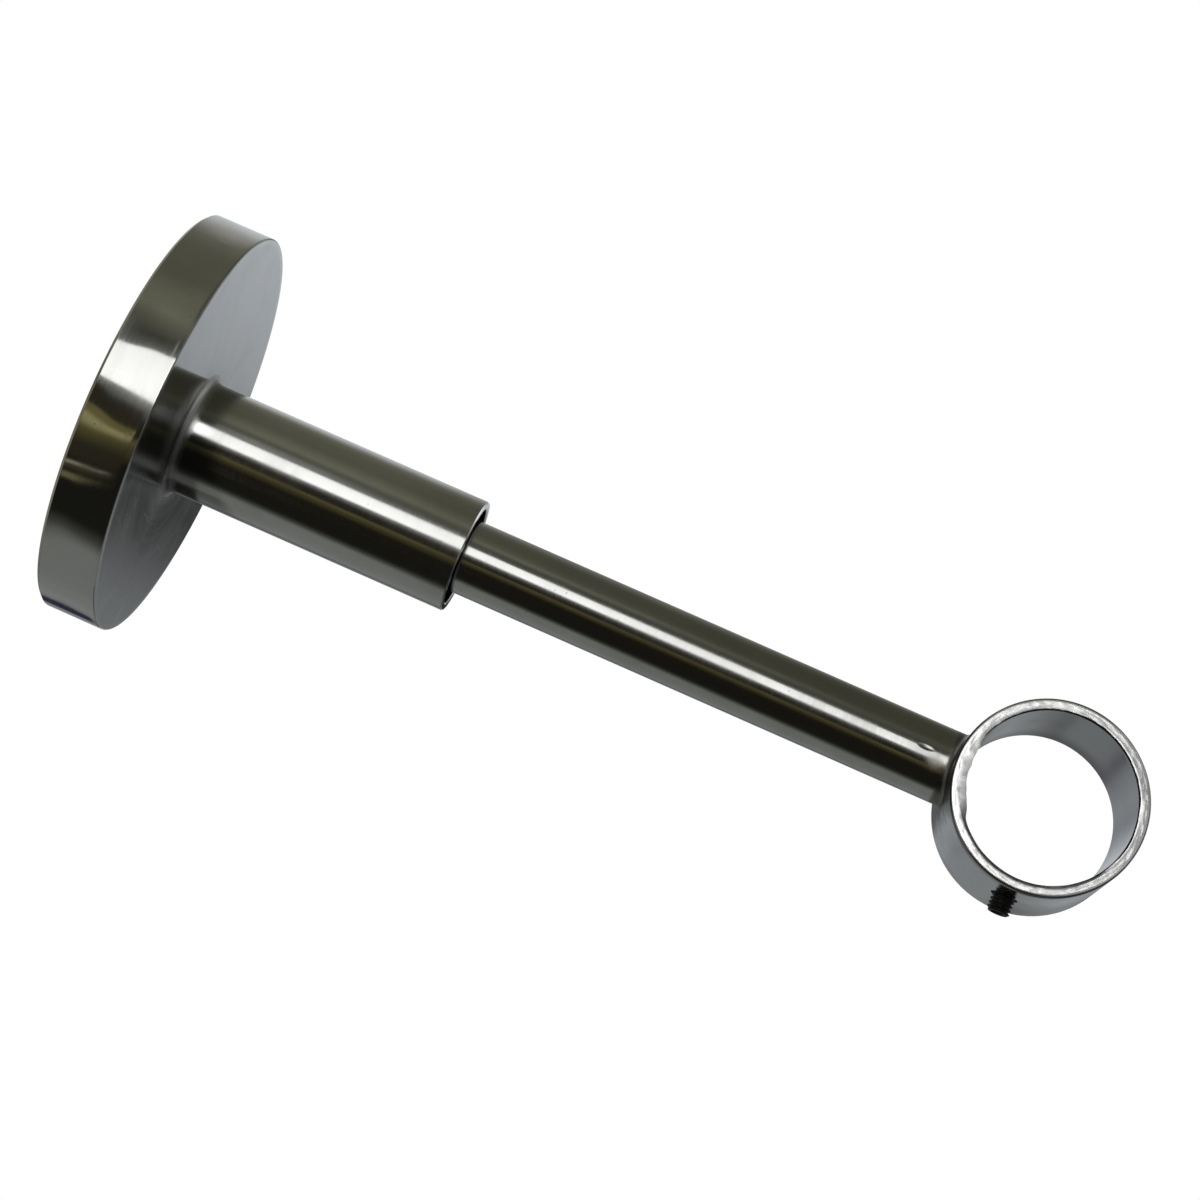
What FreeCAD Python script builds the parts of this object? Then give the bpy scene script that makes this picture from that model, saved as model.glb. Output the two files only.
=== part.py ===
import FreeCAD, Part
import math
import os

# Curtain pole bracket: a wall rose with a short stem, a thinner arm that slides in it, and a ring
# at the arm's end that takes the pole. Sizes in millimetres.
# The origin is the middle of the wall face. The wall lies at Y = 0, the arm reaches out along -Y,
# the pole runs along X and the ring's clamp screw points down, along -Z.

# Rose: the round cover cup, with its mouth to the wall
rose_diameter = 71.0
rose_depth = 10.6
rose_face_thickness = 2.0
rose_rim_wall = 1.5
rose_front_round = 0.3
rose_back_chamfer = 0.5
rose_wall_gap = 0.2

# Stem: the short wide tube brazed into the rose
stem_diameter = 19.6
stem_wall = 1.3
stem_reach = 60.9
stem_bead = 1.3
stem_mouth_chamfer = 0.2

# Wall plate: the disc that is screwed to the wall, inside the rose
plate_thickness = 3.0
plate_rose_clearance = 0.3
plate_edge_chamfer = 0.3
wall_screw_count = 3
wall_screw_circle = 46.0
wall_screw_hole = 5.0
wall_screw_countersink = 9.4

# Socket tube: welded to the plate, it carries the arm
socket_stem_clearance = 0.3
socket_recess = 11.0
socket_weld = 1.5
socket_mouth_chamfer = 0.3

# Arm: the thinner tube between socket and ring
arm_diameter = 12.7
arm_wall = 1.2
arm_running_clearance = 0.08
arm_plate_gap = 9.0
arm_end_chamfer = 0.3
arm_weld_fillet = 1.0
arm_weld_gap = 0.03

# Ring: a slice of thick tube for a 28 mm pole
pole_diameter = 28.0
pole_clearance = 0.3
ring_wall = 2.0
ring_width = 22.0
ring_reach = 164.0
ring_bore_chamfer = 0.4
ring_outer_round = 0.6

# Both clamp screws: M4 grub screws with a 2 mm hexagon socket
screw_diameter = 4.0
screw_key = 2.0
screw_key_depth = 1.6
screw_socket_chamfer = 0.35
screw_tip_chamfer = 0.6
tapped_hole_clearance = 0.05
tapped_hole_countersink = 0.4

# Pole screw: stands out below the ring until it is driven in
pole_screw_length = 4.0
pole_screw_stand = 2.8
pole_screw_offset = -2.0

# Lock screw: above the arm, through the stem into the socket
lock_screw_length = 3.0
lock_screw_from_socket_end = 8.0
lock_screw_arm_gap = 0.1
lock_screw_stem_clearance = 0.4

# Radii and places that follow from the sizes above
rose_radius = rose_diameter / 2
rose_inner_radius = rose_radius - rose_rim_wall
rose_face_back = rose_depth - rose_face_thickness
stem_radius = stem_diameter / 2
stem_bore_radius = stem_radius - stem_wall
plate_radius = rose_inner_radius - plate_rose_clearance
socket_radius = stem_bore_radius - socket_stem_clearance
arm_radius = arm_diameter / 2
arm_bore_radius = arm_radius - arm_wall
socket_bore_radius = arm_radius + arm_running_clearance
socket_reach = stem_reach - socket_recess
arm_start = plate_thickness + arm_plate_gap
ring_bore_radius = pole_diameter / 2 + pole_clearance
ring_radius = ring_bore_radius + ring_wall
screw_radius = screw_diameter / 2
tapped_hole_radius = screw_radius + tapped_hole_clearance
lock_screw_reach = socket_reach - lock_screw_from_socket_end

# How far a cutting tool runs past the face that it cuts, and how near counts as touching
overshoot = 1.0
touching = 0.01

ORIGIN = FreeCAD.Vector(0, 0, 0)
ALONG_X = FreeCAD.Vector(1, 0, 0)
ALONG_Y = FreeCAD.Vector(0, 1, 0)
INTO_ROOM = FreeCAD.Vector(0, -1, 0)
UP = FreeCAD.Vector(0, 0, 1)
DOWN = FreeCAD.Vector(0, 0, -1)
RING_CENTRE = FreeCAD.Vector(0, -ring_reach, 0)


def room_point(radius, reach):
    """A point of an outline round the stem's axis, at a distance out from the wall."""
    return FreeCAD.Vector(radius, -reach, 0)


def ring_point(radius, across):
    """A point of an outline round the ring's axis, at a place across its width."""
    return FreeCAD.Vector(across, -ring_reach + radius, 0)


def turned(outline, centre, axis):
    """A solid turned from an outline of points, where a pair (middle, end) stands for an arc."""
    edges = []
    here = outline[0]
    for step in outline[1:] + outline[:1]:
        if isinstance(step, tuple):
            middle, end = step
            edges.append(Part.Arc(here, middle, end).toShape())
        else:
            end = step
            edges.append(Part.LineSegment(here, end).toShape())
        here = end
    return Part.Face(Part.Wire(edges)).revolve(centre, axis, 360)


def arc_middle(centre, radius, angle):
    """The point of a small arc in the outline's plane, at an angle in degrees."""
    turn = math.radians(angle)
    return centre + FreeCAD.Vector(radius * math.cos(turn), radius * math.sin(turn), 0)


def make_rose():
    """The cup: a flat face, a deep straight rim, and a hole that the stem is brazed into."""
    bevel = rose_back_chamfer
    corner = room_point(rose_radius - rose_front_round, rose_depth - rose_front_round)
    return turned(
        [
            room_point(stem_radius, rose_face_back),
            room_point(rose_inner_radius, rose_face_back),
            room_point(rose_inner_radius, rose_wall_gap),
            room_point(rose_radius - bevel, rose_wall_gap),
            room_point(rose_radius, rose_wall_gap + bevel),
            room_point(rose_radius, rose_depth - rose_front_round),
            (
                arc_middle(corner, rose_front_round, -45),
                room_point(rose_radius - rose_front_round, rose_depth),
            ),
            room_point(stem_radius, rose_depth),
        ],
        ORIGIN,
        ALONG_Y,
    )


def make_stem():
    """The wide tube, with the brazed bead at its foot and the way in for the lock screw."""
    bevel = stem_mouth_chamfer
    bead_centre = room_point(stem_radius + stem_bead, rose_depth + stem_bead)
    tube = turned(
        [
            room_point(stem_bore_radius, rose_face_back),
            room_point(stem_radius, rose_face_back),
            room_point(stem_radius, rose_depth),
            room_point(stem_radius + stem_bead, rose_depth),
            (
                arc_middle(bead_centre, stem_bead, 135),
                room_point(stem_radius, rose_depth + stem_bead),
            ),
            room_point(stem_radius, stem_reach - bevel),
            room_point(stem_radius - bevel, stem_reach),
            room_point(stem_bore_radius + bevel, stem_reach),
            room_point(stem_bore_radius, stem_reach - bevel),
        ],
        ORIGIN,
        ALONG_Y,
    )
    way_in = Part.makeCylinder(
        screw_radius + lock_screw_stem_clearance,
        stem_radius + overshoot,
        FreeCAD.Vector(0, -lock_screw_reach, 0),
        UP,
    )
    return tube.cut(way_in)


def make_wall_plate():
    """The plain disc with countersunk holes for the wall screws."""
    bevel = plate_edge_chamfer
    plate = turned(
        [
            ORIGIN,
            room_point(plate_radius - bevel, 0),
            room_point(plate_radius, bevel),
            room_point(plate_radius, plate_thickness - bevel),
            room_point(plate_radius - bevel, plate_thickness),
            room_point(0, plate_thickness),
        ],
        ORIGIN,
        ALONG_Y,
    )
    hole_radius = wall_screw_hole / 2
    head_radius = wall_screw_countersink / 2
    sink = head_radius - hole_radius
    for number in range(wall_screw_count):
        turn = math.radians(90 + 360 * number / wall_screw_count)
        x = wall_screw_circle / 2 * math.cos(turn)
        z = wall_screw_circle / 2 * math.sin(turn)
        drill = Part.makeCylinder(
            hole_radius,
            plate_thickness + 2 * overshoot,
            FreeCAD.Vector(x, overshoot, z),
            INTO_ROOM,
        )
        countersink = Part.makeCone(
            hole_radius,
            head_radius + overshoot,
            sink + overshoot,
            FreeCAD.Vector(x, -plate_thickness + sink, z),
            INTO_ROOM,
        )
        plate = plate.cut(drill).cut(countersink)
    return plate


def make_socket_tube():
    """The tube that guides the arm, welded to the plate and tapped for the lock screw."""
    bevel = socket_mouth_chamfer
    foot = plate_thickness
    tube = turned(
        [
            room_point(socket_bore_radius, foot),
            room_point(socket_radius + socket_weld, foot),
            room_point(socket_radius, foot + socket_weld),
            room_point(socket_radius, socket_reach - bevel),
            room_point(socket_radius - bevel, socket_reach),
            room_point(socket_bore_radius + bevel, socket_reach),
            room_point(socket_bore_radius, socket_reach - bevel),
        ],
        ORIGIN,
        ALONG_Y,
    )
    tapped_hole = Part.makeCylinder(
        tapped_hole_radius,
        socket_radius + overshoot,
        FreeCAD.Vector(0, -lock_screw_reach, 0),
        UP,
    )
    return tube.cut(tapped_hole)


def follows_weld(edge):
    """Whether an edge lies both on the arm's outside and on the ring's."""
    middle = edge.valueAt((edge.FirstParameter + edge.LastParameter) / 2)
    from_arm_axis = math.hypot(middle.x, middle.z)
    from_ring_axis = math.hypot(middle.y + ring_reach, middle.z)
    return max(abs(from_arm_axis - arm_radius), abs(from_ring_axis - ring_radius)) < touching


def make_arm():
    """The thin tube, coped to the ring, with a polished weld that flares on to it."""
    rod = Part.makeCylinder(
        arm_radius, ring_reach - arm_start, FreeCAD.Vector(0, -arm_start, 0), INTO_ROOM
    )
    drum = Part.makeCylinder(
        ring_radius,
        ring_width + 2 * overshoot,
        RING_CENTRE - ALONG_X * (ring_width / 2 + overshoot),
        ALONG_X,
    )
    joined = rod.fuse(drum)
    seam = [edge for edge in joined.Edges if follows_weld(edge)]
    flared = joined.makeFillet(arm_weld_fillet, seam)
    cope = Part.makeCylinder(
        ring_radius + arm_weld_gap,
        ring_width + 4 * overshoot,
        RING_CENTRE - ALONG_X * (ring_width / 2 + 2 * overshoot),
        ALONG_X,
    )
    bore = Part.makeCylinder(
        arm_bore_radius,
        ring_reach - arm_start + overshoot,
        FreeCAD.Vector(0, -arm_start + overshoot, 0),
        INTO_ROOM,
    )
    bevel = arm_end_chamfer
    chamfer_ring = turned(
        [
            room_point(arm_radius - bevel, arm_start),
            room_point(arm_radius + bevel, arm_start - bevel),
            room_point(arm_radius + bevel, arm_start + bevel),
            room_point(arm_radius, arm_start + bevel),
        ],
        ORIGIN,
        ALONG_Y,
    )
    return flared.cut(cope).cut(bore).cut(chamfer_ring)


def make_ring():
    """The slice of tube that holds the pole, bevelled in its bore and rounded outside."""
    half = ring_width / 2
    bevel = ring_bore_chamfer
    round_over = ring_outer_round
    near_corner = ring_point(ring_radius - round_over, -half + round_over)
    far_corner = ring_point(ring_radius - round_over, half - round_over)
    ring = turned(
        [
            ring_point(ring_bore_radius, -half + bevel),
            ring_point(ring_bore_radius + bevel, -half),
            ring_point(ring_radius - round_over, -half),
            (
                arc_middle(near_corner, round_over, 135),
                ring_point(ring_radius, -half + round_over),
            ),
            ring_point(ring_radius, half - round_over),
            (
                arc_middle(far_corner, round_over, 45),
                ring_point(ring_radius - round_over, half),
            ),
            ring_point(ring_bore_radius + bevel, half),
            ring_point(ring_bore_radius, half - bevel),
        ],
        RING_CENTRE,
        ALONG_X,
    )
    over_hole = RING_CENTRE + ALONG_X * pole_screw_offset
    tapped_hole = Part.makeCylinder(
        tapped_hole_radius, ring_radius + overshoot, over_hole, DOWN
    )
    countersink = Part.makeCone(
        tapped_hole_radius,
        tapped_hole_radius + tapped_hole_countersink + overshoot,
        tapped_hole_countersink + overshoot,
        over_hole + DOWN * (ring_radius - tapped_hole_countersink),
        DOWN,
    )
    return ring.cut(tapped_hole).cut(countersink)


def make_grub_screw(tip, outward, length):
    """A headless screw from its tip outwards, with a hexagon socket in its outer end."""
    tip_radius = screw_radius - screw_tip_chamfer
    outer_radius = screw_radius - screw_socket_chamfer
    body_length = length - screw_tip_chamfer - screw_socket_chamfer
    tip_cone = Part.makeCone(tip_radius, screw_radius, screw_tip_chamfer, tip, outward)
    body_start = tip + outward * screw_tip_chamfer
    body = Part.makeCylinder(screw_radius, body_length, body_start, outward)
    outer_cone = Part.makeCone(
        screw_radius,
        outer_radius,
        screw_socket_chamfer,
        body_start + outward * body_length,
        outward,
    )
    corner_radius = screw_key / math.sqrt(3)
    key_floor = tip + outward * (length - screw_key_depth)
    corners = [
        key_floor
        + FreeCAD.Vector(
            corner_radius * math.cos(math.radians(60 * number)),
            corner_radius * math.sin(math.radians(60 * number)),
            0,
        )
        for number in range(6)
    ]
    key_hole = Part.Face(Part.makePolygon(corners + corners[:1])).extrude(
        outward * (screw_key_depth + overshoot)
    )
    return tip_cone.fuse([body, outer_cone]).removeSplitter().cut(key_hole)


def make_pole_screw():
    """The screw under the ring, backed out so that its tip is clear of the pole."""
    tip_radius = ring_radius + pole_screw_stand - pole_screw_length
    tip = RING_CENTRE + ALONG_X * pole_screw_offset + DOWN * tip_radius
    return make_grub_screw(tip, DOWN, pole_screw_length)


def make_lock_screw():
    """The screw above the arm, with its tip down on it."""
    tip = FreeCAD.Vector(0, -lock_screw_reach, arm_radius + lock_screw_arm_gap)
    return make_grub_screw(tip, UP, lock_screw_length)


PIECES = {
    "wall_plate": make_wall_plate,
    "socket_tube": make_socket_tube,
    "rose": make_rose,
    "stem": make_stem,
    "arm": make_arm,
    "ring": make_ring,
    "pole_screw": make_pole_screw,
    "lock_screw": make_lock_screw,
}

os.makedirs("parts", exist_ok=True)
for node, make in PIECES.items():
    shape = make()
    shape.exportStep(f"parts/{node}.step")
    box = shape.BoundBox
    print(
        f"{node}: {len(shape.Solids)} solid, valid {shape.isValid()}, {shape.Volume:.1f} mm3, "
        f"X {box.XMin:.2f} to {box.XMax:.2f}, Y {box.YMin:.2f} to {box.YMax:.2f}, "
        f"Z {box.ZMin:.2f} to {box.ZMax:.2f}"
    )
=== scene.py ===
import math

import bmesh
import bpy
import numpy as np
from mathutils import Matrix, Vector


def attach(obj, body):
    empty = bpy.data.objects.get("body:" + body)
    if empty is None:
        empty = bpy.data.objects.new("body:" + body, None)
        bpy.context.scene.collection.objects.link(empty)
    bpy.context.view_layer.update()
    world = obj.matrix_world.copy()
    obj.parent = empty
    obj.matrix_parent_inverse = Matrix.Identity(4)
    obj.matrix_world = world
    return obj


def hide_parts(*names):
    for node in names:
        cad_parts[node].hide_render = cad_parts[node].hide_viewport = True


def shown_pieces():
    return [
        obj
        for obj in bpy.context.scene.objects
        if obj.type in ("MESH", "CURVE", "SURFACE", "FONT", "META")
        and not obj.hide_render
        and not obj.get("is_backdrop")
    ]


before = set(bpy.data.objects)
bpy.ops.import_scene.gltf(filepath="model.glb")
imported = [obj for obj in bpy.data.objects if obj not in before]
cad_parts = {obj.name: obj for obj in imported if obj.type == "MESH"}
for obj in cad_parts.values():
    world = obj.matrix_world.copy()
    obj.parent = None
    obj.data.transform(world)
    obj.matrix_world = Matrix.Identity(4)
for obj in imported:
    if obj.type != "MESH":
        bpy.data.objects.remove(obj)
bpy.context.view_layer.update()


# Wall plate. A round pressed steel disc, 3 mm thick, that is screwed to the wall
# through three countersunk holes. It is zinc plated and hides inside the rose.

mm = 0.001
plate_thickness = 3.0 * mm


def put(tree, kind, inputs=(), **settings):
    """Adds a node, sets it up, and wires or fills its inputs."""
    node = tree.nodes.new(kind)
    for name, value in settings.items():
        setattr(node, name, value)
    for name, value in dict(inputs).items():
        socket = node.inputs[name]
        if isinstance(value, bpy.types.NodeSocket):
            tree.links.new(value, socket)
        else:
            socket.default_value = value
    return node


def calc(tree, operation, first, second=0.0, third=0.0):
    """One step of arithmetic; gives its result socket."""
    return put(tree, "ShaderNodeMath", {0: first, 1: second, 2: third}, operation=operation).outputs[0]


def product(tree, first, *others):
    """Multiplies two or more values or masks."""
    for other in others:
        first = calc(tree, "MULTIPLY", first, other)
    return first


def plus_share(tree, share, amount, base):
    """A base value, raised by a share of an amount."""
    return calc(tree, "MULTIPLY_ADD", share, amount, base)


def noise(tree, vector, scale, detail, roughness=0.5, distortion=0.0, fourth=None):
    """The value of a noise texture. Fourth is its fourth coordinate, where it has one."""
    inputs = {"Vector": vector, "Scale": scale, "Detail": detail, "Roughness": roughness, "Distortion": distortion}
    if fourth is not None:
        inputs["W"] = fourth
    return put(tree, "ShaderNodeTexNoise", inputs, noise_dimensions="3D" if fourth is None else "4D").outputs["Fac"]


def spread(tree, value, low, high, to_low=0.0, to_high=1.0, smooth=True):
    """Maps a value from low..high to another range, held at both ends."""
    node = put(
        tree, "ShaderNodeMapRange",
        {"Value": value, "From Min": low, "From Max": high, "To Min": to_low, "To Max": to_high},
        interpolation_type="SMOOTHSTEP" if smooth else "LINEAR",
    )
    return node.outputs["Result"]


def tint(tree, share, first, second, blend="MIX"):
    """Mixes two colours; a colour may be a socket or three numbers."""
    node = put(tree, "ShaderNodeMix", data_type="RGBA", blend_type=blend)
    for socket, value in ((node.inputs[0], share), (node.inputs[6], first), (node.inputs[7], second)):
        if isinstance(value, bpy.types.NodeSocket):
            tree.links.new(value, socket)
        elif isinstance(value, (int, float)):
            socket.default_value = value
        else:
            socket.default_value = (*value, 1.0)
    return node.outputs[2]


def new_group(name, inputs, outputs):
    """Starts a shader node group with named sockets."""
    tree = bpy.data.node_groups.new(name, "ShaderNodeTree")
    for socket_name, kind, value in inputs:
        socket = tree.interface.new_socket(socket_name, in_out="INPUT", socket_type="NodeSocket" + kind)
        if value is not None:
            socket.default_value = value
    for socket_name, kind in outputs:
        tree.interface.new_socket(socket_name, in_out="OUTPUT", socket_type="NodeSocket" + kind)
    return tree, tree.nodes.new("NodeGroupInput").outputs, tree.nodes.new("NodeGroupOutput").inputs


def handling_group():
    """Marks of handling: cloudy stains, fine straight scratches in two directions, and dust specks."""
    tree, given, result = new_group(
        "handling_marks",
        [("Vector", "Vector", None), ("Cloud size", "Float", 60.0), ("Scratch length", "Float", 60.0)],
        [("Clouds", "Float"), ("Scratches", "Float"), ("Specks", "Float")],
    )
    clouds = noise(tree, given["Vector"], given["Cloud size"], 5.0, 0.6, 0.6)
    tree.links.new(spread(tree, clouds, 0.36, 0.66), result["Clouds"])
    marks = []
    for turn, stretch, rare in (
        ((0.4, 0.9, 0.3), (1.0, 34.0, 22.0), 0.745),
        ((1.2, -0.5, 0.8), (38.0, 1.0, 26.0), 0.755),
    ):
        aimed = put(tree, "ShaderNodeMapping", {"Vector": given["Vector"], "Rotation": turn, "Scale": stretch})
        wobble = noise(tree, aimed.outputs[0], given["Scratch length"], 2.0, 0.45)
        marks.append(spread(tree, wobble, rare - 0.03, rare + 0.02))
    tree.links.new(calc(tree, "MAXIMUM", marks[0], marks[1]), result["Scratches"])
    dots = put(tree, "ShaderNodeTexVoronoi", {"Vector": given["Vector"], "Scale": 900.0}, feature="F1")
    keep = put(tree, "ShaderNodeTexWhiteNoise", {"Vector": dots.outputs["Position"]}, noise_dimensions="3D")
    dot = spread(tree, dots.outputs["Distance"], 0.10, 0.22, 1.0, 0.0)
    rare_dot = calc(tree, "GREATER_THAN", keep.outputs["Value"], 0.93)
    tree.links.new(product(tree, dot, rare_dot), result["Specks"])
    return tree


handling_marks = handling_group()


def new_finish(name):
    """Starts a material; gives its tree, its shader and the piece's own coordinates."""
    material = bpy.data.materials.new(name)
    material.use_nodes = True
    tree = material.node_tree
    shader = tree.nodes["Principled BSDF"]
    place = tree.nodes.new("ShaderNodeTexCoord").outputs["Object"]
    return material, tree, shader, place


def marks_on(tree, place, cloud_size=60.0, scratch_length=60.0):
    node = put(tree, "ShaderNodeGroup", node_tree=handling_marks)
    tree.links.new(place, node.inputs["Vector"])
    node.inputs["Cloud size"].default_value = cloud_size
    node.inputs["Scratch length"].default_value = scratch_length
    return node.outputs


def bump(tree, height, strength, distance, under=None):
    """A bump layer; under is the layer below it."""
    node = put(tree, "ShaderNodeBump", {"Height": height, "Strength": strength, "Distance": distance})
    if under is not None:
        tree.links.new(under, node.inputs["Normal"])
    return node.outputs["Normal"]


def plated_finish(name, weld_line=None):
    """Bright zinc with a thin yellow-blue passivate, fine crystal grain and light scratches."""
    material, tree, shader, place = new_finish(name)
    marks = marks_on(tree, place, 70.0, 45.0)
    grain = noise(tree, place, 1400.0, 4.0, 0.65)
    film = noise(tree, place, 34.0, 3.0, distortion=1.2)
    colour = tint(tree, spread(tree, film, 0.38, 0.62), (0.60, 0.61, 0.60), (0.64, 0.60, 0.50))
    colour = tint(tree, spread(tree, film, 0.55, 0.72, 0.0, 0.5), colour, (0.50, 0.54, 0.60))
    colour = tint(tree, product(tree, marks["Clouds"], 0.35), colour, (0.42, 0.42, 0.40))
    rough = plus_share(tree, grain, 0.16, 0.26)
    rough = plus_share(tree, marks["Clouds"], 0.10, rough)
    if weld_line is not None:
        along = put(tree, "ShaderNodeSeparateXYZ", {"Vector": place}).outputs["Y"]
        away = calc(tree, "ABSOLUTE", calc(tree, "SUBTRACT", along, weld_line))
        heat = spread(tree, away, 0.0008, 0.0065, 1.0, 0.0)
        colour = tint(tree, product(tree, heat, 0.75), colour, (0.24, 0.19, 0.15))
        rough = plus_share(tree, heat, 0.16, rough)
    colour = tint(tree, product(tree, marks["Scratches"], 0.5), colour, (0.75, 0.75, 0.74))
    tree.links.new(colour, shader.inputs["Base Color"])
    tree.links.new(rough, shader.inputs["Roughness"])
    shader.inputs["Metallic"].default_value = 1.0
    normal = bump(tree, grain, 0.25, 0.00012)
    normal = bump(tree, product(tree, marks["Scratches"], -1.0), 0.3, 0.00004, normal)
    tree.links.new(normal, shader.inputs["Normal"])
    return material


def dress(node_name, material):
    """Gives a carried-over node its finish."""
    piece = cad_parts[node_name]
    for holder in piece.material_slots:
        holder.link = "OBJECT"
        holder.material = material
    return piece


dress("wall_plate", plated_finish("zinc_plate"))


# Socket tube. A short length of plated steel tube, welded square to the plate.
# The rose and the stem slide over it, and the arm runs inside it.

dress("socket_tube", plated_finish("zinc_tube", weld_line=-plate_thickness))


# Rose. A shallow turned and polished cup that covers the wall plate, plated in
# dark nickel. Its flat face carries the stem, and its rim stands just off the wall.

rose_radius = 35.5 * mm
rose_depth = 10.6 * mm
rose_face = 2.0 * mm
rose_wall = 1.5 * mm
rose_round = 0.3 * mm
rose_chamfer = 0.5 * mm
rose_gap = 0.2 * mm
stem_radius = 9.8 * mm


def turned_tree():
    """A tree that turns a profile about an axis: each point is a radius and a place along it.
    Points may carry a screw thread, a hexagon, or the raw unevenness of a saw cut."""
    tree = bpy.data.node_groups.new("turned_piece", "GeometryNodeTree")
    for name, kind, value in (
        ("Geometry", "Geometry", None), ("Segments", "Int", 96), ("Pitch", "Float", 0.0007),
        ("Thread depth", "Float", 0.0), ("Rawness", "Float", 0.0), ("Seed", "Float", 1.0),
        ("Torn depth", "Float", 0.0), ("Torn side", "Float", 0.0),
        ("Turn", "Vector", None), ("Place", "Vector", None), ("Finish", "Material", None),
    ):
        socket = tree.interface.new_socket(name, in_out="INPUT", socket_type="NodeSocket" + kind)
        if value is not None:
            socket.default_value = value
    tree.interface.new_socket("Geometry", in_out="OUTPUT", socket_type="NodeSocketGeometry")
    given = tree.nodes.new("NodeGroupInput").outputs
    count = put(tree, "GeometryNodeAttributeDomainSize", {"Geometry": given["Geometry"]}, component="MESH")
    count = count.outputs["Point Count"]
    columns = calc(tree, "ADD", given["Segments"], 1.0)
    grid = put(tree, "GeometryNodeMeshGrid", {"Vertices X": columns, "Vertices Y": count})
    index = tree.nodes.new("GeometryNodeInputIndex").outputs[0]
    column = calc(tree, "FLOOR", calc(tree, "DIVIDE", calc(tree, "ADD", index, 0.25), count))
    row = calc(tree, "ROUND", calc(tree, "SUBTRACT", index, product(tree, column, count)))

    def on_profile(value, kind):
        node = put(tree, "GeometryNodeSampleIndex", data_type=kind, domain="POINT")
        tree.links.new(given["Geometry"], node.inputs["Geometry"])
        tree.links.new(value, next(s for s in node.inputs if s.name == "Value" and s.enabled))
        tree.links.new(row, node.inputs["Index"])
        return next(s for s in node.outputs if s.enabled)

    def share_of(name):
        node = put(tree, "GeometryNodeInputNamedAttribute", data_type="FLOAT")
        node.inputs["Name"].default_value = name
        return on_profile(next(s for s in node.outputs if s.name == "Attribute" and s.enabled), "FLOAT")

    point = on_profile(tree.nodes.new("GeometryNodeInputPosition").outputs[0], "FLOAT_VECTOR")
    point = put(tree, "ShaderNodeSeparateXYZ", {0: point}).outputs
    radius, height = point["X"], point["Z"]
    part_turn = calc(tree, "DIVIDE", column, given["Segments"])
    angle = product(tree, part_turn, 2.0 * math.pi)
    across, up = calc(tree, "COSINE", angle), calc(tree, "SINE", angle)
    phase = calc(tree, "SUBTRACT", calc(tree, "DIVIDE", height, given["Pitch"]), part_turn)
    tooth = product(tree, calc(tree, "PINGPONG", phase, 0.5), 2.0)
    tooth = spread(tree, tooth, 0.12, 0.84, smooth=False)
    cut = product(tree, product(tree, tooth, given["Thread depth"]), share_of("thread"))
    sixth = calc(tree, "SUBTRACT", calc(tree, "MODULO", angle, math.pi / 3), math.pi / 6)
    flat = calc(tree, "DIVIDE", 1.0, calc(tree, "COSINE", sixth))
    flat = plus_share(tree, calc(tree, "SUBTRACT", flat, 1.0), share_of("hexagon"), 1.0)
    radius = product(tree, calc(tree, "SUBTRACT", radius, cut), flat)
    around = put(tree, "ShaderNodeCombineXYZ", {"X": across, "Y": up, "Z": product(tree, radius, 160.0)})
    saw = noise(tree, around.outputs[0], 9.0, 5.0, 0.62, fourth=given["Seed"])
    tear = noise(tree, around.outputs[0], 3.0, 3.0, 0.6, fourth=calc(tree, "ADD", given["Seed"], 7.0))
    uneven = product(tree, calc(tree, "SUBTRACT", saw, 0.5), given["Rawness"], share_of("raw"))
    jagged = spread(tree, tear, 0.40, 0.66)
    facing = calc(tree, "COSINE", calc(tree, "SUBTRACT", angle, given["Torn side"]))
    flap = product(tree, spread(tree, facing, 0.84, 0.96), plus_share(tree, jagged, 0.16, 0.84))
    torn = product(tree, jagged, given["Rawness"])
    torn = plus_share(tree, flap, given["Torn depth"], torn)
    torn = product(tree, torn, share_of("burr"))
    height = calc(tree, "ADD", height, uneven)
    radius = calc(tree, "SUBTRACT", radius, torn)
    moved = put(tree, "ShaderNodeCombineXYZ", {
        "X": product(tree, radius, across), "Y": product(tree, radius, up), "Z": height})
    shaped = put(tree, "GeometryNodeSetPosition", {"Geometry": grid.outputs["Mesh"], "Position": moved.outputs[0]})
    closed = put(tree, "GeometryNodeMergeByDistance", {"Geometry": shaped.outputs[0], "Distance": 1e-6})
    turned = put(tree, "GeometryNodeTransform", {"Geometry": closed.outputs[0], "Rotation": given["Turn"]})
    placed = put(tree, "GeometryNodeTransform", {"Geometry": turned.outputs[0], "Translation": given["Place"]})
    real = put(tree, "GeometryNodeRealizeInstances", {"Geometry": placed.outputs[0]})
    finished = put(tree, "GeometryNodeSetMaterial", {"Geometry": real.outputs[0], "Material": given["Finish"]})
    out = tree.nodes.new("NodeGroupOutput")
    tree.links.new(finished.outputs[0], out.inputs[0])
    return tree


turned_piece = turned_tree()


def tidy_mesh(mesh, sharp_angle):
    """Merges doubles, points every face outwards and keeps only true edges sharp."""
    work = bmesh.new()
    work.from_mesh(mesh)
    bmesh.ops.remove_doubles(work, verts=work.verts, dist=2e-6)
    bmesh.ops.recalc_face_normals(work, faces=work.faces)
    work.to_mesh(mesh)
    work.free()
    mesh.shade_smooth()
    mesh.set_sharp_from_angle(angle=math.radians(sharp_angle))


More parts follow.
